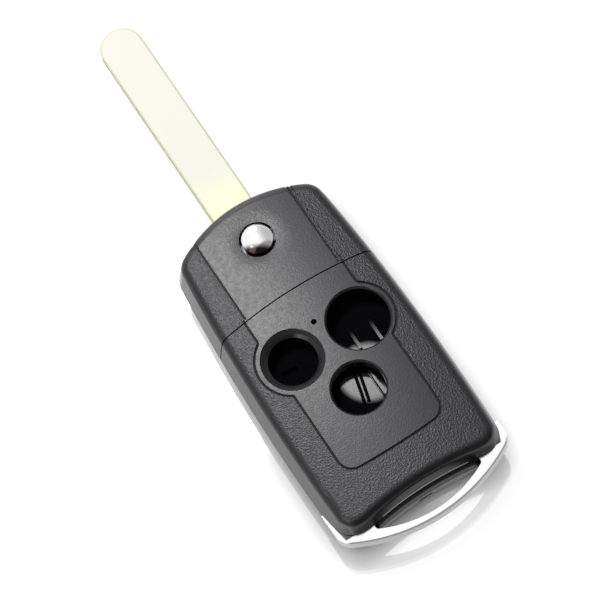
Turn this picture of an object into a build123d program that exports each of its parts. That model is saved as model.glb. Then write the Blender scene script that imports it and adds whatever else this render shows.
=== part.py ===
"""Flip key remote shell: an empty two-part case with a folding blade, in millimetres.

The frame has its origin on the pivot axis, at the flat rear face the key lies on.
+X is to the right seen from the front, +Y points along the open blade and +Z out of the front.
"""

from build123d import *
import math
import os

# Case envelope, with the plan outline given at the parting line
case_thickness = 15.0
parting_height = 8.0
half_width = 18.45
widest_y = -37.0
side_radius = 430.0
head_reach = 9.85
head_radius = 28.5
head_corner_radius = 5.0
lip_overhang = 1.55
lobe_drop = 1.15
lobe_width = 6.25
tail_corner_radius = 4.6
front_draft = 12.0
rear_draft = 9.0
front_edge_radius = 1.8
rear_edge_radius = 2.2

# Walls and fits
wall = 1.6
skin = 1.6
floor = 1.6
fit_gap = 0.15
running_gap = 0.06
collar_gap = 0.4
pin_gap = 0.02
axial_gap = 0.3
tongue_height = 0.9
tongue_thickness = 0.75
overcut = 4.0

# Seam between the head cover and the front cover, with the lip that bridges it
seam_y = -12.25
seam_radius = 91.0
seam_gap = 0.26
seam_lip_root = 1.0
seam_lip_reach = 1.8
seam_lip_thickness = 1.0

# Decorative grooves of the front face
crease_x = 10.3
groove_width = 0.5
groove_depth = 0.4
panel_half_width = 10.87
panel_margin = 9.4
panel_bottom_rise = 0.45
panel_corner_radius = 3.0
panel_ear_gap = 1.0
panel_ear_radius = 1.1

# Button holes: the middle of each hole, its radius, the width and the depth of its bevel
hole_x = 7.25
hole_y = -24.07
left_hole_radius = 4.75
left_bevel_width = 1.4
left_bevel_depth = 1.2
right_hole_radius = 6.05
lower_hole_y = -35.6
lower_hole_radius = 5.15
plain_bevel = 0.35
collar_wall = 0.8
collar_drop = 0.9
lamp_hole_y = -20.0
lamp_hole_radius = 0.55

# Blade
blade_reach = 56.2
blade_width = 8.8
blade_thickness = 2.2
blade_top = 8.9
blade_edge = 0.25
blade_root_y = 4.0
swing_gap = 0.35

# Slot in the tail wall, and the groove under the lip of the front cover
tail_slot_width = 2.9
tail_slot_bottom = 4.5
tail_slot_top = 6.2
lip_groove_bottom = 9.3
lip_groove_inset = 1.1

# Hub and its bearing
hub_radius = 7.2
hub_top = 9.9
hub_bottom = 3.0
hub_bore_floor = 3.8
journal_radius = 4.1
journal_length = 1.1
bearing_wall = 1.6
pin_radius = 0.8
pin_y = 5.6
pin_bottom = 4.4
pin_sink = 0.2

# Release button and its spring
button_radius = 3.0
button_rise = 1.5
button_crown = 1.2
button_foot = 9.2
button_well_radius = 3.55
lug_reach = 5.6
lug_width = 2.6
lug_thickness = 0.9
dish_radius = 6.4
dish_depth = 0.35
wire_radius = 0.3
coil_radius = 2.5
coil_turns = 4
wire_sides = 6
spring_post_radius = 1.6
spring_post_height = 1.2

# Key ring bow
bow_top = 10.8
bow_bottom = 7.6
bow_reach = 5.4
bow_band = 1.25
bow_radius = 35.0
bow_corner_radius = 3.2
bow_arm_length = 8.3
bow_slope_length = 7.2
bow_root_top = 8.3
bow_inset = 0.75
bow_edge_radius = 0.45
lens_rise = 2.9
lens_side = 6.95
lens_corner_radius = 0.7
bow_lug_radius = 1.7
bow_lug_side = 5.25
bow_lug_rise = 4.0
bow_lug_thickness = 1.3
bow_peg_radius = 0.8

# Module tray under the button holes
tray_bottom = 9.35
tray_floor = 1.0
tray_rim_wall = 0.8
tray_margin = 5.35
tray_rib_height = 1.2
tray_rib_width = 0.6
tray_ribs = [
    ((3.84, -32.0), (3.84, -38.2)),
    ((1.5, -30.7), (-0.1, -37.0)),
    ((2.4, -30.9), (0.8, -37.2)),
    ((9.2, -24.2), (9.2, -28.8)),
    ((4.95, -23.8), (4.95, -28.1)),
    ((-6.73, -24.0), (-6.73, -28.0)),
    ((-6.73, -24.0), (-9.9, -23.5)),
]

# Ribs inside the rear case
channel_gap = 0.8
channel_rib_top = 5.6
rib_width = 1.0
prop_x = -9.6
prop_points = [-19.0, -41.0]
prop_radius = 1.2

# Case screws
screw_sides = [5.45, 4.55, 5.05]
head_screw_y = -1.0
middle_screw_y = -33.6
tail_screw_rise = 9.3
screw_radius = 0.95
screw_head_radius = 1.8
screw_head_height = 1.1
screw_head_sink = 0.5
screw_bite = 2.8
screw_slot_width = 0.45
screw_slot_length = 2.5
screw_slot_depth = 0.5
boss_wall = 1.1

os.makedirs("parts", exist_ok=True)

front_slope = math.tan(math.radians(front_draft))
lip_y = -(blade_reach + lip_overhang)
tail_y = lip_y - lobe_drop
lobe_x = half_width - lobe_width
skin_under = case_thickness - skin
skin_inset = wall + fit_gap + front_slope * (skin_under - parting_height)
blade_bottom = blade_top - blade_thickness
slot_top = blade_top + swing_gap
slot_bottom = blade_bottom - swing_gap
swing_radius = blade_reach + swing_gap
boss_radius = screw_radius + boss_wall
head_seat = screw_head_sink + screw_head_height
tray_top = tray_bottom + tray_floor
bearing_top = hub_bottom - axial_gap
lug_top = skin_under - axial_gap
lug_bottom = lug_top - lug_thickness
button_top = case_thickness + button_rise
panel_ear = left_hole_radius + left_bevel_width + panel_ear_gap
panel_bottom_y = lip_y + panel_margin
bow_y = lip_y - bow_reach
bow_end_y = bow_y + bow_radius - math.sqrt(bow_radius**2 - half_width**2)
bow_root_y = tail_y + bow_arm_length
bow_shoulder_y = bow_root_y - bow_slope_length
bow_lug_x = half_width - bow_lug_side
bow_lug_y = tail_y + bow_lug_rise
lens_y = bow_y + bow_band
lens_end_y = lens_y + lens_rise
lens_x = half_width - lens_side
bow_lug_bottom = bow_top - bow_lug_thickness
lip_radius = (lobe_x**2 + (lip_y - tail_y) ** 2) / (2 * (lip_y - tail_y))
channel_x = blade_width / 2 + channel_gap + rib_width / 2
screw_heights = [head_screw_y, middle_screw_y, tail_y + tail_screw_rise]
screw_points = [(side - half_width, y) for side, y in zip(screw_sides, screw_heights)]


def seam_line_y(x):
    """Height of the seam between the head cover and the front cover."""
    return seam_y - seam_radius + math.sqrt(seam_radius**2 - x**2)


tray_head_y = seam_line_y(half_width - wall) - seam_lip_reach - fit_gap
tray_tail_y = lip_y + tray_margin


def case_outline(inset):
    """The outline of the case at the parting line, moved inwards."""
    with BuildSketch() as plan:
        with Locations((0, head_reach - head_radius)):
            Circle(head_radius - inset)
            Rectangle(
                2 * (head_radius - inset),
                head_reach - head_radius - tail_y - inset,
                align=(Align.CENTER, Align.MAX),
            )
        for side in (-1, 1):
            with Locations((side * (side_radius - half_width), widest_y)):
                Circle(side_radius - inset, mode=Mode.INTERSECT)
        with Locations((0, lip_y - lip_radius)):
            Circle(lip_radius + inset, mode=Mode.SUBTRACT)
        fillet(plan.vertices().sort_by(Axis.Y)[-2:], head_corner_radius - inset)
        tail_points = plan.vertices().group_by(Axis.Y)[0].sort_by(Axis.X)
        fillet([tail_points[0], tail_points[-1]], tail_corner_radius - inset)
    return plan.sketch


with BuildSketch() as swing_plan:
    Circle(swing_radius)
    with Locations((-swing_radius, 0)):
        Rectangle(2 * swing_radius, 2 * swing_radius, mode=Mode.SUBTRACT)
    with Locations((0, (blade_width - blade_reach) / 2)):
        Rectangle(blade_width + 2 * swing_gap, blade_reach)
    with Locations((0, blade_width / 2 - blade_reach)):
        Circle(blade_width / 2 + swing_gap)
    with Locations((0, head_reach)):
        Rectangle(blade_width + 2 * swing_gap, 2 * overcut)

with BuildSketch() as below_seam:
    with Locations((0, seam_y - seam_radius)):
        Circle(seam_radius)

with BuildSketch() as bow_plan:
    with BuildLine():
        ThreePointArc((-half_width, bow_end_y), (0, bow_y), (half_width, bow_end_y))
        Line((half_width, bow_end_y), (half_width, bow_root_y))
        Line((half_width, bow_root_y), (-half_width, bow_root_y))
        Line((-half_width, bow_root_y), (-half_width, bow_end_y))
    make_face()
    fillet(bow_plan.vertices().group_by(Axis.Y)[0], bow_corner_radius)

with BuildSketch() as bow_inside:
    with BuildLine():
        ThreePointArc((-lens_x, lens_end_y), (0, lens_y), (lens_x, lens_end_y))
        Line((lens_x, lens_end_y), (lens_x, bow_root_y))
        Line((lens_x, bow_root_y), (-lens_x, bow_root_y))
        Line((-lens_x, bow_root_y), (-lens_x, lens_end_y))
    make_face()
    fillet(bow_inside.vertices().group_by(Axis.Y)[0], lens_corner_radius)
    add(case_outline(bow_inset))

with BuildSketch() as panel_plan:
    with BuildLine():
        Line((-panel_half_width, panel_bottom_y), (-panel_half_width, head_reach))
        Line((-panel_half_width, head_reach), (panel_half_width, head_reach))
        Line((panel_half_width, head_reach), (panel_half_width, panel_bottom_y))
        ThreePointArc(
            (panel_half_width, panel_bottom_y),
            (0, panel_bottom_y - panel_bottom_rise),
            (-panel_half_width, panel_bottom_y),
        )
    make_face()
    fillet(panel_plan.vertices().group_by(Axis.Y)[0], panel_corner_radius)
    with Locations((-hole_x, hole_y), (hole_x, hole_y)):
        Circle(panel_ear)
    ear_corners = panel_plan.vertices().filter_by_position(Axis.Y, hole_y, 0)
    fillet(ear_corners, panel_ear_radius)


def drafted(inset, bottom, top, angle):
    """A block with the case outline whose sides lean in from the parting line upwards."""
    with BuildPart() as form:
        with BuildSketch(Plane.XY.offset(bottom)):
            add(case_outline(inset))
        extrude(amount=top - bottom)
        sides = form.faces().filter_by(Axis.Z, reverse=True)
        draft(sides, Plane.XY.offset(parting_height), angle)
    return form.part


def ring_wall(inset, bottom, top, mode=Mode.ADD):
    """A straight block with the case outline, moved inwards."""
    with BuildSketch(Plane.XY.offset(bottom)) as section:
        add(case_outline(inset))
    extrude(section.sketch, amount=top - bottom, mode=mode)


def post(x, y, radius, bottom, top, mode=Mode.ADD):
    """A round post, or a round hole, between two heights."""
    with BuildSketch(Plane.XY.offset(bottom)) as section:
        with Locations((x, y)):
            Circle(radius)
    extrude(section.sketch, amount=top - bottom, mode=mode)


def block(left, right, lower, upper, bottom, top, mode=Mode.ADD):
    """A straight block, or a slot, between limits in X, Y and Z."""
    with BuildSketch(Plane.XY.offset(bottom)) as section:
        with Locations(((left + right) / 2, (lower + upper) / 2)):
            Rectangle(right - left, upper - lower)
    extrude(section.sketch, amount=top - bottom, mode=mode)


def rib(start, end, width, bottom, top):
    """A straight upright rib from one plan point to another."""
    with BuildSketch(Plane.XY.offset(bottom)) as section:
        with BuildLine():
            Line(start, end)
        trace(line_width=width)
    extrude(section.sketch, amount=top - bottom)


def cut_swing(bottom, top):
    """Cuts away the space in which the blade folds into the case."""
    with BuildSketch(Plane.XY.offset(bottom)) as section:
        add(swing_plan.sketch)
    extrude(section.sketch, amount=top - bottom, mode=Mode.SUBTRACT)


def cut_bow_slope(clearance):
    """Cuts the top of the bow's arms, or of their seat, to a slope down to the roots."""
    with BuildSketch(Plane.YZ) as wedge:
        with BuildLine():
            Polyline(
                (bow_root_y + overcut, bow_root_top + clearance),
                (bow_root_y, bow_root_top + clearance),
                (bow_shoulder_y, bow_top + clearance),
                (bow_root_y + overcut, bow_top + clearance),
                close=True,
            )
        make_face()
    extrude(wedge.sketch, amount=half_width + overcut, both=True, mode=Mode.SUBTRACT)


def bow_lugs(clearance, outer):
    """The two round lugs that reach in from the bow's corners, joined by short necks."""
    with BuildSketch(Plane.XY.offset(bow_lug_bottom - clearance)) as lugs:
        for side in (-1, 1):
            with Locations(Location((side * bow_lug_x, bow_lug_y, 0), (0, 0, side * 45 - 90))):
                Circle(bow_lug_radius + clearance)
                Rectangle(
                    tail_corner_radius,
                    2 * bow_lug_radius + 2 * clearance,
                    align=(Align.MIN, Align.CENTER),
                )
        add(case_outline(outer), mode=Mode.INTERSECT)
    extrude(lugs.sketch, amount=bow_lug_thickness + 2 * clearance)


# Space that the key ring bow takes from the case, with its clearance
with BuildPart() as bow_seat:
    with BuildSketch(Plane.XY.offset(bow_bottom - fit_gap)):
        with Locations((0, bow_root_y + fit_gap)):
            Rectangle(
                2 * (half_width + overcut),
                bow_arm_length + overcut,
                align=(Align.CENTER, Align.MAX),
            )
            Rectangle(
                2 * (lens_x - lens_corner_radius - fit_gap),
                bow_arm_length + overcut,
                align=(Align.CENTER, Align.MAX),
                mode=Mode.SUBTRACT,
            )
        add(case_outline(bow_inset + fit_gap), mode=Mode.SUBTRACT)
    extrude(amount=bow_top - bow_bottom + 2 * fit_gap)
    cut_bow_slope(fit_gap)
    bow_lugs(fit_gap, bow_inset)

# Outer form of the front half, a drafted block with a rounded edge
with BuildPart() as front_form:
    add(drafted(0, parting_height, case_thickness, front_draft))
    fillet(front_form.faces().sort_by(Axis.Z)[-1].edges(), front_edge_radius)

# Material that the two creases of the head and the panel groove take away
with BuildPart() as grooves:
    with BuildSketch(Plane.XY.offset(skin_under - groove_depth)):
        offset(panel_plan.sketch, groove_width / 2)
        offset(panel_plan.sketch, -groove_width / 2, mode=Mode.SUBTRACT)
    extrude(amount=skin + overcut)
    for side in (-1, 1):
        block(
            side * crease_x - groove_width / 2,
            side * crease_x + groove_width / 2,
            seam_y - seam_gap,
            head_reach,
            skin_under - groove_depth,
            case_thickness + overcut,
        )
    with Locations((0, 0, -groove_depth)):
        add(front_form.part, mode=Mode.SUBTRACT)

# Front shell, before it is parted at the seam
with BuildPart() as front_shell:
    add(front_form.part)
    add(drafted(wall, parting_height, skin_under, front_draft), mode=Mode.SUBTRACT)
    ring_wall(
        wall - tongue_thickness - fit_gap,
        parting_height,
        parting_height + tongue_height + fit_gap,
        Mode.SUBTRACT,
    )

# Shallow finger dish round the release button, with a soft rim
with BuildPart() as dish:
    with BuildSketch(Plane.XZ):
        with BuildLine():
            middle = (dish_radius / 2, case_thickness - dish_depth / 2)
            hollow = TangentArc((0, case_thickness - dish_depth), middle, tangent=(1, 0))
            TangentArc(middle, (dish_radius, case_thickness), tangent=hollow % 1)
            Line((dish_radius, case_thickness), (0, case_thickness))
            Line((0, case_thickness), (0, case_thickness - dish_depth))
        make_face()
    revolve(axis=Axis.Z)


def button_hole(x, y, radius, bevel_width, bevel_depth):
    """A bevelled round hole in the front skin, with a short collar round it inside."""
    post(x, y, radius + collar_wall, skin_under - collar_drop, skin_under)
    post(x, y, radius, skin_under - collar_drop, case_thickness, Mode.SUBTRACT)
    with Locations((x, y, case_thickness - bevel_depth / 2)):
        Cone(radius, radius + bevel_width, bevel_depth, mode=Mode.SUBTRACT)


# Front cover with the three button holes
with BuildPart() as front_cover:
    add(front_shell.part)
    with BuildSketch(Plane.XY.offset(parting_height)):
        with Locations((0, -seam_gap / 2)):
            add(below_seam.sketch)
    extrude(amount=case_thickness, mode=Mode.INTERSECT)
    add(grooves.part, mode=Mode.SUBTRACT)
    button_hole(-hole_x, hole_y, left_hole_radius, left_bevel_width, left_bevel_depth)
    button_hole(hole_x, hole_y, right_hole_radius, plain_bevel, plain_bevel)
    button_hole(0, lower_hole_y, lower_hole_radius, plain_bevel, plain_bevel)
    post(0, lamp_hole_y, lamp_hole_radius, skin_under, case_thickness, Mode.SUBTRACT)
    for point in screw_points[1:]:
        post(*point, boss_radius, parting_height, skin_under)
        post(*point, screw_radius + pin_gap, parting_height, skin_under, Mode.SUBTRACT)
    for side in (-1, 1):
        post(side * bow_lug_x, bow_lug_y, bow_lug_radius, bow_top + fit_gap, skin_under)
    add(bow_seat.part, mode=Mode.SUBTRACT)
    for side in (-1, 1):
        post(side * bow_lug_x, bow_lug_y, bow_peg_radius, bow_lug_bottom, skin_under)
    cut_swing(slot_bottom, slot_top)
    with BuildSketch(Plane.XY.offset(lip_groove_bottom)):
        with Locations((0, lip_y)):
            Rectangle(2 * lens_x, 2 * overcut)
        add(case_outline(lip_groove_inset), mode=Mode.SUBTRACT)
    extrude(amount=bow_top + fit_gap - lip_groove_bottom, mode=Mode.SUBTRACT)
front_cover.part.label = "front_cover"
export_step(front_cover.part, "parts/front_cover.step")

# Head cover with the well of the release button
with BuildPart() as head_cover:
    add(front_shell.part)
    with BuildSketch(Plane.XY.offset(parting_height)):
        with Locations((0, seam_gap / 2)):
            add(below_seam.sketch)
    extrude(amount=case_thickness, mode=Mode.SUBTRACT)
    with BuildSketch(Plane.XY.offset(skin_under - seam_lip_thickness)):
        with Locations((0, seam_lip_root)):
            add(below_seam.sketch)
        with Locations((0, -seam_lip_reach)):
            add(below_seam.sketch, mode=Mode.SUBTRACT)
        add(case_outline(skin_inset), mode=Mode.INTERSECT)
    extrude(amount=seam_lip_thickness)
    add(dish.part, mode=Mode.SUBTRACT)
    add(grooves.part, mode=Mode.SUBTRACT)
    post(0, 0, hub_radius, hub_top + axial_gap, skin_under)
    post(0, 0, lug_reach + collar_gap, hub_top + axial_gap, skin_under, Mode.SUBTRACT)
    post(0, 0, button_well_radius, skin_under, case_thickness, Mode.SUBTRACT)
    post(*screw_points[0], boss_radius, parting_height, skin_under)
    post(*screw_points[0], screw_radius + pin_gap, parting_height, skin_under, Mode.SUBTRACT)
    cut_swing(slot_bottom, slot_top)
head_cover.part.label = "head_cover"
export_step(head_cover.part, "parts/head_cover.step")

# Rear case with the hub bearing, the screw bosses, the blade channel and the tray props
with BuildPart() as rear_case:
    add(drafted(0, 0, parting_height, -rear_draft))
    fillet(rear_case.faces().sort_by(Axis.Z)[0].edges(), rear_edge_radius)
    ring_wall(wall - tongue_thickness, parting_height, parting_height + tongue_height)
    ring_wall(wall, parting_height, parting_height + tongue_height, Mode.SUBTRACT)
    add(drafted(wall, floor, parting_height, -rear_draft), mode=Mode.SUBTRACT)
    for side in (-1, 1):
        rib(
            (side * channel_x, seam_y),
            (side * channel_x, bow_lug_y),
            rib_width,
            floor,
            channel_rib_top,
        )
    for y in prop_points:
        post(prop_x, y, prop_radius, floor, tray_bottom)
    post(0, 0, journal_radius + running_gap + bearing_wall, floor, bearing_top)
    post(0, 0, journal_radius + running_gap, floor, bearing_top, Mode.SUBTRACT)
    for point in screw_points:
        post(*point, screw_head_radius + boss_wall, floor, parting_height)
        post(*point, screw_radius + fit_gap, floor, parting_height, Mode.SUBTRACT)
        post(*point, screw_head_radius + fit_gap, 0, head_seat, Mode.SUBTRACT)
    add(bow_seat.part, mode=Mode.SUBTRACT)
    cut_swing(slot_bottom, slot_top)
    block(
        -tail_slot_width / 2,
        tail_slot_width / 2,
        tail_y,
        lip_y + overcut,
        tail_slot_bottom,
        tail_slot_top,
        Mode.SUBTRACT,
    )
rear_case.part.label = "rear_case"
export_step(rear_case.part, "parts/rear_case.step")

# Key ring bow: a metal band round the tail with its arms let into the case
with BuildPart() as ring_bow:
    with BuildSketch(Plane.XY.offset(bow_bottom)):
        add(bow_plan.sketch)
    extrude(amount=bow_top - bow_bottom)
    rims = ring_bow.edges().filter_by(Plane.XY)
    fillet(rims.filter_by(lambda edge: edge.center().Y < bow_root_y), bow_edge_radius)
    cut_bow_slope(0)
    with BuildSketch(Plane.XY.offset(bow_bottom)):
        add(bow_inside.sketch)
    extrude(amount=bow_top - bow_bottom, mode=Mode.SUBTRACT)
    bow_lugs(0, bow_inset)
    for side in (-1, 1):
        post(
            side * bow_lug_x,
            bow_lug_y,
            bow_peg_radius + pin_gap,
            bow_lug_bottom,
            bow_top,
            Mode.SUBTRACT,
        )
    cut_swing(bow_bottom, bow_top)
ring_bow.part.label = "ring_bow"
export_step(ring_bow.part, "parts/ring_bow.step")

# Tray that carries the electronics under the button holes
with BuildPart() as module_tray:
    with BuildSketch(Plane.XY.offset(tray_bottom)) as tray_plan:
        add(case_outline(skin_inset))
        with Locations((0, tray_tail_y)):
            Rectangle(
                2 * half_width,
                tray_head_y - tray_tail_y,
                align=(Align.CENTER, Align.MIN),
                mode=Mode.INTERSECT,
            )
        with Locations(*screw_points[1:]):
            Circle(boss_radius + axial_gap, mode=Mode.SUBTRACT)
    extrude(amount=skin_under - tray_bottom)
    with BuildSketch(Plane.XY.offset(tray_top)):
        offset(tray_plan.face(), -tray_rim_wall)
    extrude(amount=skin_under - tray_top, mode=Mode.SUBTRACT)
    for start, end in tray_ribs:
        rib(start, end, tray_rib_width, tray_top, tray_top + tray_rib_height)
module_tray.part.label = "module_tray"
export_step(module_tray.part, "parts/module_tray.step")

# Hub that carries the blade and turns on its journal in the rear case
with BuildPart() as hub:
    post(0, 0, hub_radius, hub_bottom, hub_top)
    post(0, 0, journal_radius, hub_bottom - journal_length, hub_bottom)
    post(0, 0, button_radius + running_gap, hub_bore_floor, hub_top, Mode.SUBTRACT)
    post(0, 0, spring_post_radius, hub_bore_floor, hub_bore_floor + spring_post_height)
    block(
        -blade_width / 2,
        blade_width / 2,
        blade_root_y,
        hub_radius + overcut,
        blade_bottom,
        blade_top,
        Mode.SUBTRACT,
    )
    post(0, pin_y, pin_radius + pin_gap, pin_bottom, hub_top, Mode.SUBTRACT)
hub.part.label = "hub"
export_step(hub.part, "parts/hub.step")

# Uncut blade with its round end
with BuildPart() as blade:
    with BuildSketch(Plane.XY.offset(blade_bottom)):
        with Locations((0, blade_root_y)):
            Rectangle(
                blade_width,
                blade_reach - blade_width / 2 - blade_root_y,
                align=(Align.CENTER, Align.MIN),
            )
        with Locations((0, blade_reach - blade_width / 2)):
            Circle(blade_width / 2)
    extrude(amount=blade_thickness)
    chamfer(
        blade.edges().filter_by(Plane.XY).filter_by(lambda e: e.center().Y > hub_radius),
        blade_edge,
    )
    post(0, pin_y, pin_radius + pin_gap, blade_bottom, blade_top, Mode.SUBTRACT)
blade.part.label = "blade"
export_step(blade.part, "parts/blade.step")

# Pin that holds the blade in the hub
with BuildPart() as blade_pin:
    post(0, pin_y, pin_radius, pin_bottom, hub_top - pin_sink)
blade_pin.part.label = "blade_pin"
export_step(blade_pin.part, "parts/blade_pin.step")

# Release button with its crown and its two locking lugs
with BuildPart() as release_button:
    with BuildSketch(Plane.XZ):
        with BuildLine():
            Line((0, button_foot), (button_radius, button_foot))
            Line((button_radius, button_foot), (button_radius, button_top - button_crown))
            TangentArc(
                (0, button_top),
                (button_radius, button_top - button_crown),
                tangent=(1, 0),
            )
            Line((0, button_top), (0, button_foot))
        make_face()
    revolve(axis=Axis.Z)
    with BuildSketch(Plane.XY.offset(lug_bottom)):
        Circle(lug_reach)
        Rectangle(2 * lug_reach, lug_width, mode=Mode.INTERSECT)
    extrude(amount=lug_thickness)
release_button.part.label = "release_button"
export_step(release_button.part, "parts/release_button.step")

# Coil spring between the floor of the hub and the foot of the button
coil_rise = button_foot - hub_bore_floor - 2 * wire_radius
with BuildPart() as coil_spring:
    with BuildLine(Plane.XY.offset(hub_bore_floor + wire_radius)) as coil:
        Helix(coil_rise / coil_turns, coil_rise, coil_radius)
    with BuildSketch(Plane(coil.line @ 0, z_dir=coil.line % 0)):
        RegularPolygon(wire_radius, wire_sides)
    sweep(is_frenet=True)
coil_spring.part.label = "coil_spring"
export_step(coil_spring.part, "parts/coil_spring.step")

# Case screws with cross recessed heads, sunk in the rear case
with BuildPart() as case_screws:
    for point in screw_points:
        post(*point, screw_head_radius, screw_head_sink, head_seat)
        post(*point, screw_radius, head_seat, parting_height + screw_bite)
        with BuildSketch(Plane.XY.offset(screw_head_sink)) as recess:
            with Locations(point):
                Rectangle(screw_slot_length, screw_slot_width)
                Rectangle(screw_slot_width, screw_slot_length)
        extrude(recess.sketch, amount=screw_slot_depth, mode=Mode.SUBTRACT)
case_screws.part.label = "case_screws"
export_step(case_screws.part, "parts/case_screws.step")
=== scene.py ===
import bpy
import math
from mathutils import Matrix, Vector


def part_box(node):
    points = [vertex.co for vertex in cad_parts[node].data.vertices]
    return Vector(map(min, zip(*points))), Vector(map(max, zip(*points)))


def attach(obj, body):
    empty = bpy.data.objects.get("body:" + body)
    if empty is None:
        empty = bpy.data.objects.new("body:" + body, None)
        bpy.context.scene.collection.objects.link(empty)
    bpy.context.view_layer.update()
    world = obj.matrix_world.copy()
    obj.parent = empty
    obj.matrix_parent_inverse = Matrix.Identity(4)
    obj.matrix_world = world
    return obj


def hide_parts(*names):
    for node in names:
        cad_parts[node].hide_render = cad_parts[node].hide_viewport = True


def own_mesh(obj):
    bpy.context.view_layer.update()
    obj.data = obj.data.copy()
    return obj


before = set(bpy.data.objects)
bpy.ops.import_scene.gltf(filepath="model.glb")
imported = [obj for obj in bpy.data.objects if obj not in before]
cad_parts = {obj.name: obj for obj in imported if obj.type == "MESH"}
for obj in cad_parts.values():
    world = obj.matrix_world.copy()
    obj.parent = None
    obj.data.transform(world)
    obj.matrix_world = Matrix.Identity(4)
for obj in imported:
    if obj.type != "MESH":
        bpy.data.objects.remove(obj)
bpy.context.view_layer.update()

bl_info = {
    "name": "Flip key shell",
    "version": (1, 0, 0),
    "blender": (4, 5, 0),
    "location": "View3D > Sidebar > Key shell",
    "description": "Dresses a flip key remote shell and sets its studio",
    "category": "Object",
}

# Places on the case, in metres: X across, Y towards the blade, Z up from the rear
HOLE_X = 0.00725
HOLE_Y = -0.02407
EAR_RADIUS = 0.00715
PANEL_HALF_WIDTH = 0.01087
PANEL_BOTTOM_Y = -0.0486
PANEL_CORNER = 0.003
FACE_MIDDLE_Y = -0.025
GROOVE_Z = 0.0146
SEAM_Y = -0.01225
CREASE_X = 0.0103
BUTTON_WELL_RADIUS = 0.007
BUTTON_FOOT_Z = 0.0146
PARTING_Z = 0.008
LIP_Z = 0.0111
LIP_HALF_WIDTH = 0.0093
TAIL_Y = -0.0525

# How far the masks of those places reach, in metres
FRONT_DEPTH = 0.002
GROOVE_ROOM_X = 0.0004
GROOVE_ROOM_Y = 0.001
GROOVE_HALF_HEIGHT = 0.0003
CREASE_HALF_WIDTH = 0.00017
PARTING_HALF_HEIGHT = 0.00008
LIP_HALF_HEIGHT = 0.00016
BUTTON_FOOT_FADE = 0.0002

# The blade's outline, and how far its rim and root colours reach
BLADE_HALF_WIDTH = 0.0044
BLADE_TIP_Y = 0.0562
BLADE_ROOT_Y = 0.0095
BLADE_ROOT_LENGTH = 0.012
RIM_START = 0.0006
RIM_FULL = 0.0001

# The polished spot on the tray's floor, and the worn tops of its ribs
POLISH_X = 0.0037
POLISH_Y = -0.0325
POLISH_RADIUS = 0.0064
POLISH_FULL_SHARE = 0.75
TRAY_FLOOR_Z = 0.0106
TRAY_RIB_Z = 0.0114
RIB_WEAR_LENGTH = 0.0055

# The button's spring
SPRING_TURNS = 4
SPRING_STEPS = 40
WIRE_SIDES = 12

# Masks of how a surface leans: the part of its normal at which each starts and is full
LEAN_BELOW_FACE = (0.99, 0.8)
LEAN_ABOVE_WALL = (0.15, 0.4)
LEAN_FROM_HEAD = (0.35, -0.1)
LEAN_ON_TAIL = (-0.35, -0.75)
LEAN_LEVEL = (0.8, 0.97)
LEAN_WALL = (0.7, 0.35)
LEAN_UNDERSIDE = (-0.3, -0.8)

# How much a lean to the side counts beside one along the key, and where the dome's painted dark
# reflection starts
HEAD_SIDE_SHARE = 0.4
DOME_SIDE_SHARE = 0.6
DOME_TURN_START = 0.5

# The moulded grain, and the slow mottling that clouds colours and polish
GRAIN_CELL = 0.0006
GRAIN_SMOOTHNESS = 0.35
RIPPLE_SHARE = 0.7
RIPPLE_DETAIL = 3.0
MOTTLE_SCALE = 1500.0
MOTTLE_DETAIL = 4.0
MOTTLE_RANGE = (0.3, 0.7)
PANEL_GRAIN_SHARE = 0.22
WALL_GRAIN_SHARE = 0.1

# The lines along the blade, and its gloss
BRUSH_ALONG = 40.0
BRUSH_DETAIL = 3.0
BLADE_GLOSS = 0.18

# How much of a colour is left in darker and lighter places: random mottled tones, and the painted
# shade on the case's edges and grooves (RECESS_SHADE) and on metal undersides (UNDERSIDE_SHADE)
MOTTLE_DARK = 0.8
MOTTLE_LIGHT = 1.2
RECESS_SHADE = 0.3
TRAY_SHADE = 0.6
UNDERSIDE_SHADE = 0.2

# Roughness, with a pair where polish varies, and what makes it more or less in places
SIDE_ROUGHNESS = 0.42
PANEL_ROUGHNESS = 0.38
GROOVE_ROUGHNESS = 0.75
COAT_ROUGHNESS = 0.12
CLOUDING = 0.035
WALL_ROUGHNESS_SHARE = 0.8
EDGE_ROUGHNESS_SHARE = 0.7
WALL_DULLING = 0.15
TRAY_ROUGHNESS = (0.4, 0.6)
BOW_ROUGHNESS = (0.04, 0.12)
DOME_ROUGHNESS = (0.10, 0.18)
BLADE_ROUGHNESS = (0.4, 0.55)
HUB_ROUGHNESS = (0.35, 0.5)
STEEL_ROUGHNESS = (0.2, 0.35)

# The floor: its contact shadow, its mirror, where that fades under the blade, and how much dimmer
# reflections see it on the near side
WHITE = (1, 1, 1, 1)
FLOOR_GREY = (0.2, 0.2, 0.2, 1)
FLOOR_GLOW = 0.88
CONTACT_DISTANCE = 0.005
CONTACT_POWER = 1.7
CONTACT_SAMPLES = 12
MIRROR_ROUGHNESS = 0.04
MIRROR_SHARE = 0.25
BLADE_MIRROR_SHARE = 0.05
BLADE_MIRROR_RANGE = (-0.015, 0.015)
NEAR_FLOOR_RANGE = (-0.07, -0.15)
NEAR_FLOOR_STRENGTH = 0.1

# The white surround: where and how far reflections see it dimmed, and its plain light
NEAR_SIDE = (0.12, -0.94, 0.32)
NEAR_SIDE_RANGE = (0.5, 0.8)
NEAR_SIDE_STRENGTH = 0.1
RIGHT_SIDE_RANGE = (0.1, 0.8)
RIGHT_SIDE_STRENGTH = 0.55
SURROUND_LIGHT = 0.3

# The lamps other than the softbox: name, place and side in metres, and power in watts
LAMPS = (
    ("Side fill", (-0.7, -0.3, 0.6), 0.5, 2.0),
    ("Back fill", (0.1, 0.9, 0.35), 0.5, 2.5),
    ("Pin spot", (0.122, 0.2745, 0.93), 0.05, 0.09),
)

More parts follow.
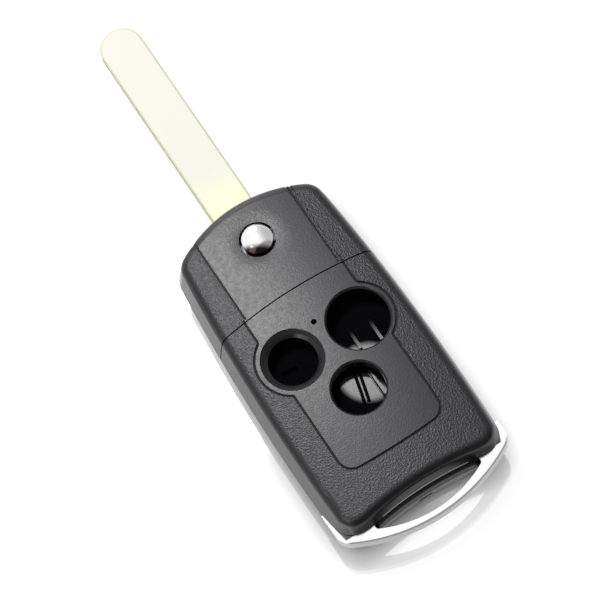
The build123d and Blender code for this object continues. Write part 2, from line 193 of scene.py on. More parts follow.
# The camera's own directions, at the photograph's viewing angle
CAMERA_RIGHT = Vector((0.842112, -0.530722, -0.095819))
CAMERA_DOWN = Vector((-0.527831, -0.774634, -0.348333))
CAMERA_FORWARD = Vector((0.110644, 0.343912, -0.932461))
SENSOR_WIDTH = 36.0


class CaseLook(bpy.types.PropertyGroup):
    """Finish of the black case mouldings."""

    colour: bpy.props.FloatVectorProperty(
        name="Plastic colour", description="Colour of the case plastic",
        default=(0.008, 0.0078, 0.011), size=3, min=0, max=1, subtype="COLOR")
    # Painted highlight: a thin light line painted along the lower edge of the tail's lip
    lip_highlight_colour: bpy.props.FloatVectorProperty(
        name="Painted lip highlight colour", description="Colour of the highlight painted along the tail's lip",
        default=(0.5, 0.5, 0.51), size=3, min=0, max=1, subtype="COLOR")
    tray_colour: bpy.props.FloatVectorProperty(
        name="Tray colour", description="Colour of the module tray's plastic",
        default=(0.004, 0.004, 0.005), size=3, min=0, max=1, subtype="COLOR")
    grain_size: bpy.props.FloatProperty(
        name="Grain size", description="Size of one cell of the moulded grain",
        default=0.00030, min=0.0001, max=0.005, unit="LENGTH")
    grain_depth: bpy.props.FloatProperty(
        name="Grain depth", description="Depth of the moulded grain",
        default=0.000055, min=0.0, max=0.001, unit="LENGTH")
    gloss: bpy.props.FloatProperty(
        name="Gloss", description="Strength of the plastic's own reflection",
        default=0.42, min=0.0, max=1.0, subtype="FACTOR")
    crown_across: bpy.props.FloatProperty(
        name="Crown across", description="Radius of the front face's slight crown, side to side",
        default=0.118, min=0.02, max=10.0, unit="LENGTH")
    crown_along: bpy.props.FloatProperty(
        name="Crown along", description="Radius of the front face's slight crown, end to end",
        default=0.45, min=0.02, max=10.0, unit="LENGTH")


class MetalLook(bpy.types.PropertyGroup):
    """Finish of the metal pieces."""

    plate_colour: bpy.props.FloatVectorProperty(
        name="Plate colour", description="Colour of the polished bow and button",
        default=(0.93, 0.93, 0.935), size=3, min=0, max=1, subtype="COLOR")
    # Painted shade: the bow's side walls are darker than its polished top
    bow_wall_shade_colour: bpy.props.FloatVectorProperty(
        name="Bow wall shade colour", description="Colour of the shade painted on the bow's side walls",
        default=(0.42, 0.42, 0.425), size=3, min=0, max=1, subtype="COLOR")
    # Painted reflection: a dark reflection painted on the lower side of the button's dome
    dome_reflection_colour: bpy.props.FloatVectorProperty(
        name="Dome painted reflection colour", description="Colour of the dark reflection painted on the lower side of the button's dome",
        default=(0.035, 0.022, 0.020), size=3, min=0, max=1, subtype="COLOR")
    dome_turn: bpy.props.FloatProperty(
        name="Dome turn", description="How far the dome leans where its colour has fully turned",
        default=-0.6, min=-1.0, max=0.0)
    lug_colour: bpy.props.FloatVectorProperty(
        name="Lug colour", description="Colour of the button below the case's skin, much darker than its dome",
        default=(0.03, 0.03, 0.032), size=3, min=0, max=1, subtype="COLOR")
    blade_colour: bpy.props.FloatVectorProperty(
        name="Blade colour", description="Colour of the plated blade blank",
        default=(0.735, 0.722, 0.645), size=3, min=0, max=1, subtype="COLOR")
    # Partly painted light: the root's warm tint is lightened to make up for the head's shade
    blade_root_colour: bpy.props.FloatVectorProperty(
        name="Blade root colour", description="Colour of the blade beside the head: a warmer tint, lightened as painted light against the head's shade",
        default=(0.84, 0.84, 0.60), size=3, min=0, max=1, subtype="COLOR")
    blade_rim_colour: bpy.props.FloatVectorProperty(
        name="Blade rim colour", description="Colour of the olive band along the blade's outline",
        default=(0.62, 0.635, 0.43), size=3, min=0, max=1, subtype="COLOR")
    blade_edge_colour: bpy.props.FloatVectorProperty(
        name="Blade edge colour", description="Colour of the blade's side walls, darker and more olive than its faces",
        default=(0.45, 0.43, 0.31), size=3, min=0, max=1, subtype="COLOR")
    hub_colour: bpy.props.FloatVectorProperty(
        name="Hub colour", description="Colour of the cast hub",
        default=(0.45, 0.45, 0.46), size=3, min=0, max=1, subtype="COLOR")
    # Painted shade: the hub's and the steel pieces' side walls are darker than their faces
    hub_wall_shade_colour: bpy.props.FloatVectorProperty(
        name="Hub wall shade colour", description="Colour of the hub's duller side walls, with painted shade",
        default=(0.3, 0.3, 0.31), size=3, min=0, max=1, subtype="COLOR")
    steel_colour: bpy.props.FloatVectorProperty(
        name="Steel colour", description="Colour of the pin, the screws and the spring",
        default=(0.55, 0.55, 0.56), size=3, min=0, max=1, subtype="COLOR")
    steel_wall_shade_colour: bpy.props.FloatVectorProperty(
        name="Steel wall shade colour", description="Colour of the steel pieces' duller side walls, with painted shade",
        default=(0.4, 0.4, 0.41), size=3, min=0, max=1, subtype="COLOR")
    spring_wire: bpy.props.FloatProperty(
        name="Spring wire", description="Radius of the wire of the button's spring",
        default=0.00027, min=0.0001, max=0.0006, unit="LENGTH", precision=5)
    spring_play: bpy.props.FloatProperty(
        name="Spring play", description="Clear space at each end of the button's spring",
        default=0.00003, min=0.00001, max=0.0005, unit="LENGTH", precision=5)
    brush_size: bpy.props.FloatProperty(
        name="Brush line width", description="Width of the fine lines along the blade",
        default=0.00012, min=0.00001, max=0.002, unit="LENGTH")


class StageLook(bpy.types.PropertyGroup):
    """Floor, light and camera."""

    camera_place: bpy.props.FloatVectorProperty(
        name="Camera place", description="Where the camera stands",
        default=(-0.0618, -0.20753, 0.5373), size=3, subtype="XYZ", unit="LENGTH")
    focal_length: bpy.props.FloatProperty(
        name="Focal length", description="Focal length of the camera, in millimetres",
        default=180.0, min=20.0, max=400.0)
    softbox_place: bpy.props.FloatVectorProperty(
        name="Softbox place", description="Where the overhead softbox hangs",
        default=(-0.07, 0.42, 0.93), size=3, subtype="XYZ", unit="LENGTH")
    softbox_size: bpy.props.FloatProperty(
        name="Softbox size", description="Side of the overhead softbox",
        default=0.30, min=0.05, max=2.0, unit="LENGTH")
    softbox_power: bpy.props.FloatProperty(
        name="Softbox power", description="Power of the overhead softbox",
        default=8.0, min=0.0, max=100.0, subtype="POWER")
    floor_size: bpy.props.FloatProperty(
        name="Floor size", description="Side of the square floor",
        default=6.0, min=0.5, max=20.0, unit="LENGTH")


def cleared_tree(owner):
    """The node tree of a new material or world, emptied."""
    owner.use_nodes = True
    owner.node_tree.nodes.clear()
    return owner.node_tree


def new_material(name):
    """An empty node material with its Principled shader and output."""
    material = bpy.data.materials.new(name)
    tree = cleared_tree(material)
    output = tree.nodes.new("ShaderNodeOutputMaterial")
    shader = tree.nodes.new("ShaderNodeBsdfPrincipled")
    tree.links.new(shader.outputs["BSDF"], output.inputs["Surface"])
    return material, shader


def put(material, *names):
    """Gives a material to CAD nodes."""
    for name in names:
        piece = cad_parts[name]
        piece.data.materials.clear()
        piece.data.materials.append(material)


def new_group(name, inputs, outputs):
    """A shader node group: inputs are (name, type, default), and outputs are numbers."""
    group = bpy.data.node_groups.new(name, "ShaderNodeTree")
    for label, kind, default in inputs:
        socket = group.interface.new_socket(label, in_out="INPUT", socket_type=kind)
        if default is not None:
            socket.default_value = default
    for label in outputs:
        group.interface.new_socket(label, in_out="OUTPUT", socket_type="NodeSocketFloat")
    return group, group.nodes.new("NodeGroupInput"), group.nodes.new("NodeGroupOutput")


def add_group(material, group, **values):
    """Places a node group in a material, fed by the object's own coordinates."""
    tree = material.node_tree
    node = tree.nodes.new("ShaderNodeGroup")
    node.node_tree = group
    place = tree.nodes.new("ShaderNodeTexCoord")
    for label, output in (("Position", "Object"), ("Normal", "Normal")):
        if label in node.inputs:
            tree.links.new(place.outputs[output], node.inputs[label])
    for label, value in values.items():
        node.inputs[label.replace("_", " ")].default_value = value
    return node.outputs


def feed(tree, value, socket):
    """Links a socket to an input, or sets a plain value on it."""
    if isinstance(value, bpy.types.NodeSocket):
        tree.links.new(value, socket)
    else:
        socket.default_value = value


def axes(tree, vector):
    """The X, Y and Z of a vector socket."""
    node = tree.nodes.new("ShaderNodeSeparateXYZ")
    tree.links.new(vector, node.inputs["Vector"])
    return node.outputs["X"], node.outputs["Y"], node.outputs["Z"]


def coordinates(tree, kind="Object"):
    """The X, Y and Z of a point on the object, or of its normal."""
    place = tree.nodes.new("ShaderNodeTexCoord")
    return axes(tree, place.outputs[kind])


def math_node(tree, operation, *values):
    """A Math node, with numbers or sockets as its inputs."""
    node = tree.nodes.new("ShaderNodeMath")
    node.operation = operation
    for socket, value in zip(node.inputs, values):
        feed(tree, value, socket)
    return node.outputs["Value"]


def product(tree, value, *factors):
    """A socket multiplied by numbers or sockets: of masks, 1 only where all of them are 1."""
    for factor in factors:
        value = math_node(tree, "MULTIPLY", value, factor)
    return value


def distance(tree, first, second):
    """The length of a plan vector."""
    squares = math_node(tree, "ADD", product(tree, first, first), product(tree, second, second))
    return math_node(tree, "SQRT", squares)


def map_number(tree, value, low, high, at_low, at_high, kind="LINEAR"):
    """A number carried from one range to another, and held at its ends."""
    node = tree.nodes.new("ShaderNodeMapRange")
    node.interpolation_type = kind
    for label, number in (("From Min", low), ("From Max", high),
                          ("To Min", at_low), ("To Max", at_high)):
        node.inputs[label].default_value = number
    tree.links.new(value, node.inputs["Value"])
    return node.outputs["Result"]


def smooth_step(tree, value, start, end):
    """A soft step from 0 at the start to 1 at the end."""
    if start < end:
        return map_number(tree, value, start, end, 0.0, 1.0, "SMOOTHSTEP")
    return map_number(tree, value, end, start, 1.0, 0.0, "SMOOTHSTEP")


def spread(tree, factor, low, high):
    """A number that runs from low to high with a mask."""
    return map_number(tree, factor, 0.0, 1.0, low, high)


def noise(tree, position, scale, detail):
    """Smooth noise over a position."""
    node = tree.nodes.new("ShaderNodeTexNoise")
    node.inputs["Detail"].default_value = detail
    tree.links.new(position, node.inputs["Vector"])
    feed(tree, scale, node.inputs["Scale"])
    return node.outputs["Fac"]


def tinted(colour, share):
    """A colour with each of its parts multiplied by a share."""
    return [part * share for part in colour]


def mix_colours(tree, factor, low, high):
    """A colour that runs from low to high with a mask, each a colour or a socket."""
    node = tree.nodes.new("ShaderNodeMix")
    node.data_type = "RGBA"
    tree.links.new(factor, node.inputs["Factor"])
    for label, colour in (("A", low), ("B", high)):
        if not isinstance(colour, bpy.types.NodeSocket):
            colour = (*colour, 1)
        feed(tree, colour, node.inputs[label])
    return node.outputs["Result"]


def moulded_grain_group():
    """Leather-like mould grain: a height and a slow mottling, from a position."""
    name = "Moulded grain"
    if name in bpy.data.node_groups:
        return bpy.data.node_groups[name]
    group, inputs, outputs = new_group(
        name,
        [("Position", "NodeSocketVector", None), ("Cell Size", "NodeSocketFloat", GRAIN_CELL)],
        ["Height", "Mottle"])
    link = group.links.new
    position = inputs.outputs["Position"]
    scale = math_node(group, "DIVIDE", 1.0, inputs.outputs["Cell Size"])
    cells = group.nodes.new("ShaderNodeTexVoronoi")
    cells.feature = "SMOOTH_F1"
    cells.inputs["Smoothness"].default_value = GRAIN_SMOOTHNESS
    link(position, cells.inputs["Vector"])
    link(scale, cells.inputs["Scale"])
    ripple = noise(group, position, product(group, scale, RIPPLE_SHARE), RIPPLE_DETAIL)
    link(math_node(group, "ADD", cells.outputs["Distance"], ripple), outputs.inputs["Height"])
    link(noise(group, position, MOTTLE_SCALE, MOTTLE_DETAIL), outputs.inputs["Mottle"])
    return group


def face_zones_group():
    """Masks of the case: the smooth front panel, the grooves, crease and parting line that get
    painted shade, and the line along the tail's lip that gets a painted highlight.
    """
    name = "Face zones"
    if name in bpy.data.node_groups:
        return bpy.data.node_groups[name]
    group, inputs, outputs = new_group(
        name, [("Position", "NodeSocketVector", None)], ["Panel", "Groove", "Painted Lip Highlight"])
    link = group.links.new
    x, y, z = axes(group, inputs.outputs["Position"])
    across = math_node(group, "ABSOLUTE", x)
    in_head = math_node(group, "GREATER_THAN", y, SEAM_Y)
    narrowing = product(group, in_head, PANEL_HALF_WIDTH - CREASE_X)
    beyond = math_node(group, "ADD", across, narrowing)
    corner_x = math_node(group, "SUBTRACT", beyond, PANEL_HALF_WIDTH - PANEL_CORNER)
    corner_y = math_node(group, "SUBTRACT", PANEL_BOTTOM_Y + PANEL_CORNER, y)
    reach = distance(group, math_node(group, "MAXIMUM", corner_x, 0.0),
                     math_node(group, "MAXIMUM", corner_y, 0.0))
    middle = math_node(group, "LESS_THAN", reach, PANEL_CORNER)
    to_hole = distance(group, math_node(group, "SUBTRACT", across, HOLE_X),
                       math_node(group, "SUBTRACT", y, HOLE_Y))
    ear = math_node(group, "LESS_THAN", to_hole, EAR_RADIUS)
    flat = math_node(group, "MAXIMUM", middle, ear)
    front = math_node(group, "GREATER_THAN", z, GROOVE_Z - FRONT_DEPTH)
    link(product(group, flat, front), outputs.inputs["Panel"])
    groove = product(
        group,
        math_node(group, "COMPARE", z, GROOVE_Z, GROOVE_HALF_HEIGHT),
        math_node(group, "LESS_THAN", across, EAR_RADIUS + HOLE_X + GROOVE_ROOM_X),
        math_node(group, "GREATER_THAN", y, PANEL_BOTTOM_Y - GROOVE_ROOM_Y),
        math_node(group, "GREATER_THAN", distance(group, x, y), BUTTON_WELL_RADIUS),
        math_node(group, "SUBTRACT", 1.0, in_head))
    crease = math_node(group, "COMPARE", across, CREASE_X, CREASE_HALF_WIDTH)
    crease = product(group, crease, front, in_head)
    parting = math_node(group, "COMPARE", z, PARTING_Z, PARTING_HALF_HEIGHT)
    lines = math_node(group, "MAXIMUM", math_node(group, "MAXIMUM", groove, crease), parting)
    link(lines, outputs.inputs["Groove"])
    # A thin band along the tail's lip, where a highlight is painted
    lip = product(
        group,
        math_node(group, "COMPARE", z, LIP_Z, LIP_HALF_HEIGHT),
        math_node(group, "LESS_THAN", y, TAIL_Y),
        math_node(group, "LESS_THAN", across, LIP_HALF_WIDTH))
    link(lip, outputs.inputs["Painted Lip Highlight"])
    return group


def rounding_group():
    """Masks of the level faces, the side walls and the rounded edges that lean from the head."""
    name = "Rounded edges"
    if name in bpy.data.node_groups:
        return bpy.data.node_groups[name]
    group, inputs, outputs = new_group(
        name, [("Normal", "NodeSocketVector", None)],
        ["Rounding", "Wall", "Level", "Underside"])
    link = group.links.new
    x, y, z = axes(group, inputs.outputs["Normal"])
    below_face = smooth_step(group, z, *LEAN_BELOW_FACE)
    above_wall = smooth_step(group, z, *LEAN_ABOVE_WALL)
    towards_head = math_node(group, "ADD", y, product(group, x, HEAD_SIDE_SHARE))
    from_head = smooth_step(group, towards_head, *LEAN_FROM_HEAD)
    on_tail = smooth_step(group, y, *LEAN_ON_TAIL)
    above_wall = math_node(group, "MAXIMUM", above_wall, on_tail)
    link(product(group, below_face, above_wall, from_head), outputs.inputs["Rounding"])
    link(smooth_step(group, z, *LEAN_LEVEL), outputs.inputs["Level"])
    link(smooth_step(group, z, *LEAN_WALL), outputs.inputs["Wall"])
    link(smooth_step(group, z, *LEAN_UNDERSIDE), outputs.inputs["Underside"])
    return group


def crown_normal(tree, look):
    """The normal of the front face with the slight crown of the moulding."""
    x, y, _ = coordinates(tree)
    along = math_node(tree, "SUBTRACT", y, FACE_MIDDLE_Y)
    across_part = product(tree, x, x, -0.5 / look.crown_across)
    along_part = product(tree, along, along, -0.5 / look.crown_along)
    crown = tree.nodes.new("ShaderNodeBump")
    crown.inputs["Distance"].default_value = 1.0
    tree.links.new(math_node(tree, "ADD", across_part, along_part), crown.inputs["Height"])
    return crown.outputs["Normal"]


def case_plastic(name, look):
    """Black moulded plastic: grained sides, satin panel, edges worn smooth and darkened with
    painted shade, painted shade in the grooves, and a painted highlight along the tail's lip.
    """
    material, shader = new_material(name)
    tree = material.node_tree
    link = tree.links.new
    grain = add_group(material, moulded_grain_group(), Cell_Size=look.grain_size)
    zones = add_group(material, face_zones_group())
    edges = add_group(material, rounding_group())
    groove = zones["Groove"]
    rounding = edges["Rounding"]
    level = edges["Level"]
    bump = tree.nodes.new("ShaderNodeBump")
    bump.inputs["Distance"].default_value = look.grain_depth
    link(grain["Height"], bump.inputs["Height"])
    link(crown_normal(tree, look), bump.inputs["Normal"])
    link(product(tree, spread(tree, zones["Panel"], 1.0, PANEL_GRAIN_SHARE),
                 spread(tree, level, WALL_GRAIN_SHARE, 1.0)), bump.inputs["Strength"])
    link(bump.outputs["Normal"], shader.inputs["Normal"])
    shade = mix_colours(tree, grain["Mottle"], tinted(look.colour, MOTTLE_DARK),
                        tinted(look.colour, MOTTLE_LIGHT))
    # Painted shade: the rounded edges that lean from the head, the grooves, the head's crease and
    # the parting line are darkened
    deep = tinted(look.colour, RECESS_SHADE)
    shade = mix_colours(tree, rounding, shade, deep)
    shade = mix_colours(tree, groove, shade, deep)
    # Painted highlight: the light line along the tail's lip
    shade = mix_colours(tree, zones["Painted Lip Highlight"], shade, look.lip_highlight_colour)
    link(shade, shader.inputs["Base Color"])
    roughness = spread(tree, zones["Panel"], SIDE_ROUGHNESS, PANEL_ROUGHNESS)
    clouding = map_number(tree, grain["Mottle"], *MOTTLE_RANGE, -CLOUDING, CLOUDING)
    roughness = math_node(tree, "ADD", roughness, product(tree, clouding, level))
    roughness = product(tree, roughness, spread(tree, level, WALL_ROUGHNESS_SHARE, 1.0),
                        spread(tree, rounding, 1.0, EDGE_ROUGHNESS_SHARE))
    dull = product(tree, groove, GROOVE_ROUGHNESS)
    link(math_node(tree, "MAXIMUM", roughness, dull), shader.inputs["Roughness"])
    shader.distribution = "GGX"
    shader.inputs["Specular IOR Level"].default_value = look.gloss
    return material


def tray_plastic(name, look):
    """Matt black plastic, polished on one spot of the tray's floor and on its worn rib tops."""
    material, shader = new_material(name)
    tree = material.node_tree
    link = tree.links.new
    mottle = add_group(material, moulded_grain_group())["Mottle"]
    deep = tinted(look.tray_colour, TRAY_SHADE)
    link(mix_colours(tree, mottle, deep, look.tray_colour), shader.inputs["Base Color"])
    link(spread(tree, mottle, *TRAY_ROUGHNESS), shader.inputs["Roughness"])
    shader.inputs["Specular IOR Level"].default_value = 0.0
    x, y, z = coordinates(tree)
    from_spot = distance(tree, math_node(tree, "SUBTRACT", x, POLISH_X),
                         math_node(tree, "SUBTRACT", y, POLISH_Y))
    spot = product(
        tree,
        smooth_step(tree, from_spot, POLISH_RADIUS, POLISH_RADIUS * POLISH_FULL_SHARE),
        math_node(tree, "LESS_THAN", z, TRAY_FLOOR_Z))
    rib_top = product(
        tree,
        math_node(tree, "GREATER_THAN", z, TRAY_RIB_Z),
        math_node(tree, "GREATER_THAN", x, POLISH_X),
        smooth_step(tree, y, HOLE_Y, HOLE_Y - RIB_WEAR_LENGTH))
    link(math_node(tree, "MAXIMUM", spot, rib_top), shader.inputs["Coat Weight"])
    shader.inputs["Coat Roughness"].default_value = COAT_ROUGHNESS
    return material


def metal(name, face_colour, wall_colour, roughness):
    """A metal with duller side walls, painted shade on its side walls and underside, and slow
    changes of polish.
    """
    material, shader = new_material(name)
    tree = material.node_tree
    mottle = add_group(material, moulded_grain_group())["Mottle"]
    edges = add_group(material, rounding_group())
    # Painted shade: the side walls and the underside are darkened
    shade = mix_colours(tree, edges["Wall"], face_colour, wall_colour)
    shade = mix_colours(tree, edges["Underside"], shade, tinted(wall_colour, UNDERSIDE_SHADE))
    tree.links.new(shade, shader.inputs["Base Color"])
    shader.inputs["Metallic"].default_value = 1.0
    polish = spread(tree, mottle, *roughness)
    dulled = product(tree, edges["Wall"], WALL_DULLING)
    tree.links.new(math_node(tree, "ADD", polish, dulled), shader.inputs["Roughness"])
    return material


def steel(name, look):
    """The bright steel of the small pieces."""
    return metal(name, look.steel_colour, look.steel_wall_shade_colour, STEEL_ROUGHNESS)


def button_plate(name, look):
    """Chrome on the button's dome, with a dark reflection painted on its lower side, and much
    darker below the case's skin.
    """
    material, shader = new_material(name)
    tree = material.node_tree
    _, _, height = coordinates(tree)
    facing_x, facing_y, _ = coordinates(tree, "Normal")
    mottle = add_group(material, moulded_grain_group())["Mottle"]
    # Painted reflection: the side of the dome that leans towards the tail and the left is darkened
    lean = math_node(tree, "ADD", facing_y, product(tree, facing_x, DOME_SIDE_SHARE))
    painted_reflection = smooth_step(tree, lean, look.dome_turn * DOME_TURN_START, look.dome_turn)
    shade = mix_colours(tree, painted_reflection, look.plate_colour, look.dome_reflection_colour)
    below = smooth_step(tree, height, BUTTON_FOOT_Z, BUTTON_FOOT_Z - BUTTON_FOOT_FADE)
    shade = mix_colours(tree, below, shade, look.lug_colour)
    tree.links.new(shade, shader.inputs["Base Color"])
    shader.inputs["Metallic"].default_value = 1.0
    tree.links.new(spread(tree, mottle, *DOME_ROUGHNESS), shader.inputs["Roughness"])
    return material


def blade_plate(name, look):
    """Pale plating with fine lines along the blade, an olive band along the rim and darker side
    walls, and a warm tint at the root that is lightened as painted light.
    """
    material, shader = new_material(name)
    tree = material.node_tree
    link = tree.links.new
    place = tree.nodes.new("ShaderNodeTexCoord")
    stretch = tree.nodes.new("ShaderNodeMapping")
    stretch.inputs["Scale"].default_value = (1 / look.brush_size, BRUSH_ALONG,
                                             1 / look.brush_size)
    link(place.outputs["Object"], stretch.inputs["Vector"])
    lines = noise(tree, stretch.outputs["Vector"], 1.0, BRUSH_DETAIL)
    wall = add_group(material, rounding_group())["Wall"]
    x, y, _ = coordinates(tree)
    past_tip = math_node(tree, "SUBTRACT", y, BLADE_TIP_Y - BLADE_HALF_WIDTH)
    from_middle = distance(tree, x, math_node(tree, "MAXIMUM", past_tip, 0.0))
    rim = smooth_step(tree, from_middle, BLADE_HALF_WIDTH - RIM_START,
                      BLADE_HALF_WIDTH - RIM_FULL)
    # The root is warmer, and lightened as painted light against the head's shade
    root = smooth_step(tree, y, BLADE_ROOT_Y + BLADE_ROOT_LENGTH, BLADE_ROOT_Y)
    shade = mix_colours(tree, root, look.blade_colour, look.blade_root_colour)
    shade = mix_colours(tree, rim, shade, look.blade_rim_colour)
    shade = mix_colours(tree, wall, shade, look.blade_edge_colour)
    link(shade, shader.inputs["Base Color"])
    link(spread(tree, lines, *BLADE_ROUGHNESS), shader.inputs["Roughness"])
    shader.inputs["Specular IOR Level"].default_value = BLADE_GLOSS
    return material


class DressCase(bpy.types.Operator):
    """Gives the case halves and the head cover their grained black plastic."""

    bl_idname = "key_shell.case"
    bl_label = "Case mouldings"

    def execute(self, context):
        plastic = case_plastic("Moulded black plastic", context.scene.key_case)
        put(plastic, "front_cover", "head_cover", "rear_case")
        return {"FINISHED"}


class DressTray(bpy.types.Operator):
    """Gives the module tray its black plastic with polished places."""

    bl_idname = "key_shell.tray"
    bl_label = "Module tray"

    def execute(self, context):
        put(tray_plastic("Tray plastic", context.scene.key_case), "module_tray")
        return {"FINISHED"}


class DressPlate(bpy.types.Operator):
    """Gives the bow and the release button their polished plate."""

    bl_idname = "key_shell.plate"
    bl_label = "Bow and button"

    def execute(self, context):
        look = context.scene.key_metal
        put(metal("Bow plate", look.plate_colour, look.bow_wall_shade_colour, BOW_ROUGHNESS),
            "ring_bow")
        put(button_plate("Button plate", look), "release_button")
        return {"FINISHED"}


class DressBlade(bpy.types.Operator):
    """Gives the blade its plating, the hub its casting, and the pin and screws their steel."""

    bl_idname = "key_shell.blade"
    bl_label = "Blade and hub"

    def execute(self, context):
        look = context.scene.key_metal
        put(blade_plate("Blade plate", look), "blade")
        put(metal("Hub casting", look.hub_colour, look.hub_wall_shade_colour, HUB_ROUGHNESS), "hub")
        put(steel("Bright steel", look), "blade_pin", "case_screws")
        return {"FINISHED"}


def wound_wire(name, low, high, wire):
    """A round wire wound inside a box: a circle that rises as it goes round the button's axis."""
    radius = (high.x - low.x) / 2 - wire
    rise = high.z - low.z - 2 * wire
    bpy.ops.object.select_all(action="DESELECT")
    bpy.ops.mesh.primitive_circle_add(
        vertices=WIRE_SIDES, radius=wire, location=(radius, 0, low.z + wire),
        rotation=(math.pi / 2, 0, 0))
    spring = bpy.context.object
    spring.name = name
    bpy.ops.object.transform_apply(location=True, rotation=True, scale=False)
    turns = spring.modifiers.new("Turns", "SCREW")
    turns.iterations = SPRING_TURNS
    turns.steps = turns.render_steps = SPRING_STEPS
    turns.screw_offset = rise / SPRING_TURNS
    bpy.ops.object.modifier_apply(modifier=turns.name)
    bpy.ops.object.mode_set(mode="EDIT")
    bpy.ops.mesh.select_all(action="SELECT")
    bpy.ops.mesh.fill_holes(sides=WIRE_SIDES)
    bpy.ops.mesh.select_all(action="SELECT")
    bpy.ops.mesh.normals_make_consistent(inside=False)
    bpy.ops.object.mode_set(mode="OBJECT")
    bpy.ops.object.shade_smooth()
    return spring


class WindSpring(bpy.types.Operator):
    """Winds the button's spring in place of the CAD coil and puts it on the blade unit."""

    bl_idname = "key_shell.spring"
    bl_label = "Button spring"

    def execute(self, context):
        look = context.scene.key_metal
        low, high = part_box("coil_spring")
        play = Vector((0, 0, look.spring_play))
        spring = wound_wire("button_spring", low + play, high - play, look.spring_wire)
        spring.data.materials.append(steel("Spring steel", look))
        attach(spring, "blade_unit")
        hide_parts("coil_spring")
        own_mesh(spring)
        return {"FINISHED"}


def seen_surround(tree, mirrored):
    """A strength of 1 for camera rays, and as given for glossy and transmission rays."""
    rays = tree.nodes.new("ShaderNodeLightPath")
    reflected = math_node(tree, "MAXIMUM", rays.outputs["Is Glossy Ray"],
                          rays.outputs["Is Transmission Ray"])
    reflected = product(tree, reflected, mirrored)
    return math_node(tree, "MAXIMUM", reflected, rays.outputs["Is Camera Ray"])


def floor_material():
    """A white glossy floor that stays white to the camera and keeps the object's shadow."""
    material = bpy.data.materials.new("White acrylic floor")
    tree = cleared_tree(material)
    link = tree.links.new
    _, y, _ = coordinates(tree)
    matte = tree.nodes.new("ShaderNodeBsdfDiffuse")
    matte.inputs["Color"].default_value = FLOOR_GREY
    openness = tree.nodes.new("ShaderNodeAmbientOcclusion")
    openness.samples = CONTACT_SAMPLES
    openness.inputs["Distance"].default_value = CONTACT_DISTANCE
    lit = math_node(tree, "POWER", openness.outputs["AO"], CONTACT_POWER)
    nearer = smooth_step(tree, y, *NEAR_FLOOR_RANGE)
    seen = seen_surround(tree, spread(tree, nearer, 1.0, NEAR_FLOOR_STRENGTH))
    glow = tree.nodes.new("ShaderNodeEmission")
    glow.inputs["Color"].default_value = WHITE
    link(product(tree, seen, FLOOR_GLOW, lit), glow.inputs["Strength"])
    both = tree.nodes.new("ShaderNodeAddShader")
    link(matte.outputs["BSDF"], both.inputs[0])
    link(glow.outputs["Emission"], both.inputs[1])
    mirror = tree.nodes.new("ShaderNodeBsdfGlossy")
    mirror.inputs["Roughness"].default_value = MIRROR_ROUGHNESS
    mirror.inputs["Color"].default_value = WHITE
    under_blade = smooth_step(tree, y, *BLADE_MIRROR_RANGE)
    mix = tree.nodes.new("ShaderNodeMixShader")
    link(spread(tree, under_blade, MIRROR_SHARE, BLADE_MIRROR_SHARE), mix.inputs["Fac"])
    link(both.outputs["Shader"], mix.inputs[1])
    link(mirror.outputs["BSDF"], mix.inputs[2])
    output = tree.nodes.new("ShaderNodeOutputMaterial")
    link(mix.outputs["Shader"], output.inputs["Surface"])
    return material


def lay_floor(size):
    """A square floor under the object."""
    bpy.ops.object.select_all(action="DESELECT")
    bpy.ops.mesh.primitive_plane_add(size=size, location=(0, 0, 0))
    floor = bpy.context.object
    floor.name = "floor"
    floor.data.materials.append(floor_material())


def add_lamp(name, place, size, power):
    """A soft square lamp that looks at the object."""
    data = bpy.data.lights.new(name, "AREA")
    data.shape = "SQUARE"
    data.size = size
    data.energy = power
    lamp = bpy.data.objects.new(name, data)
    bpy.context.scene.collection.objects.link(lamp)
    lamp.location = place
    to_object = Vector((0, FACE_MIDDLE_Y, 0)) - Vector(place)
    lamp.rotation_euler = to_object.to_track_quat("-Z", "Y").to_euler()


def white_surround():
    """A white world, which reflections see dimmed towards the near side and the right."""
    world = bpy.data.worlds.new("White surround")
    tree = cleared_tree(world)
    link = tree.links.new
    place = tree.nodes.new("ShaderNodeTexCoord")
    direction = place.outputs["Generated"]
    x, _, _ = axes(tree, direction)
    towards_near = tree.nodes.new("ShaderNodeVectorMath")
    towards_near.operation = "DOT_PRODUCT"
    towards_near.inputs[1].default_value = NEAR_SIDE
    link(direction, towards_near.inputs[0])
    near = smooth_step(tree, towards_near.outputs["Value"], *NEAR_SIDE_RANGE)
    right = smooth_step(tree, x, *RIGHT_SIDE_RANGE)
    mirrored = product(tree, spread(tree, near, 1.0, NEAR_SIDE_STRENGTH),
                       spread(tree, right, 1.0, RIGHT_SIDE_STRENGTH))
    strength = math_node(tree, "MAXIMUM", seen_surround(tree, mirrored), SURROUND_LIGHT)
    surround = tree.nodes.new("ShaderNodeBackground")
    surround.inputs["Color"].default_value = WHITE
    link(strength, surround.inputs["Strength"])
    output = tree.nodes.new("ShaderNodeOutputWorld")
    link(surround.outputs["Background"], output.inputs["Surface"])
    return world


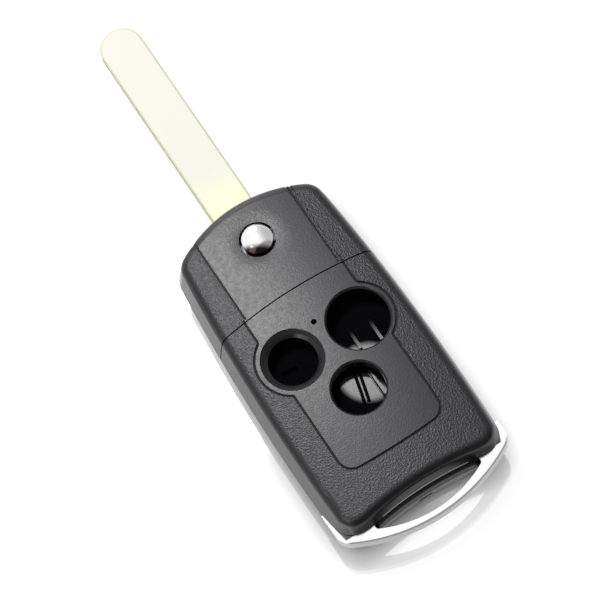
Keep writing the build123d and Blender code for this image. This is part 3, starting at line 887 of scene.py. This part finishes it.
def product_camera(place, focal_length):
    """A long-lens camera at the photograph's viewing angle."""
    lens = bpy.data.cameras.new("Product camera")
    lens.sensor_width = SENSOR_WIDTH
    lens.lens = focal_length
    camera = bpy.data.objects.new("Product camera", lens)
    bpy.context.scene.collection.objects.link(camera)
    turn = Matrix((CAMERA_RIGHT, -CAMERA_DOWN, -CAMERA_FORWARD)).transposed()
    camera.matrix_world = Matrix.Translation(place) @ turn.to_4x4()
    return camera


class SetStage(bpy.types.Operator):
    """Builds the floor, the lamps, the white surround and the camera."""

    bl_idname = "key_shell.stage"
    bl_label = "Stage"

    def execute(self, context):
        scene = context.scene
        look = scene.key_stage
        lay_floor(look.floor_size)
        add_lamp("Overhead softbox", look.softbox_place, look.softbox_size, look.softbox_power)
        for lamp in LAMPS:
            add_lamp(*lamp)
        scene.world = white_surround()
        scene.camera = product_camera(look.camera_place, look.focal_length)
        scene.view_settings.view_transform = "Standard"
        return {"FINISHED"}


OPERATORS = (DressCase, DressTray, DressPlate, DressBlade, WindSpring, SetStage)


class KeyShellPanel(bpy.types.Panel):
    """Lists the key shell's steps and settings."""

    bl_idname = "VIEW3D_PT_key_shell"
    bl_label = "Key shell"
    bl_space_type = "VIEW_3D"
    bl_region_type = "UI"
    bl_category = "Key shell"

    def draw(self, context):
        scene = context.scene
        for look in (scene.key_case, scene.key_metal, scene.key_stage):
            for field in look.bl_rna.properties:
                if field.identifier not in ("rna_type", "name"):
                    self.layout.prop(look, field.identifier)
        for operator in OPERATORS:
            self.layout.operator(operator.bl_idname)


CLASSES = (CaseLook, MetalLook, StageLook, *OPERATORS, KeyShellPanel)


def register():
    """Adds the classes and their settings."""
    for item in CLASSES:
        bpy.utils.register_class(item)
    bpy.types.Scene.key_case = bpy.props.PointerProperty(type=CaseLook)
    bpy.types.Scene.key_metal = bpy.props.PointerProperty(type=MetalLook)
    bpy.types.Scene.key_stage = bpy.props.PointerProperty(type=StageLook)


def unregister():
    """Removes the classes and their settings."""
    del bpy.types.Scene.key_stage
    del bpy.types.Scene.key_metal
    del bpy.types.Scene.key_case
    for item in reversed(CLASSES):
        bpy.utils.unregister_class(item)


def main():
    register()
    bpy.ops.key_shell.case()
    bpy.ops.key_shell.tray()
    bpy.ops.key_shell.plate()
    bpy.ops.key_shell.blade()
    bpy.ops.key_shell.spring()
    bpy.ops.key_shell.stage()


if __name__ == "__main__":
    main()
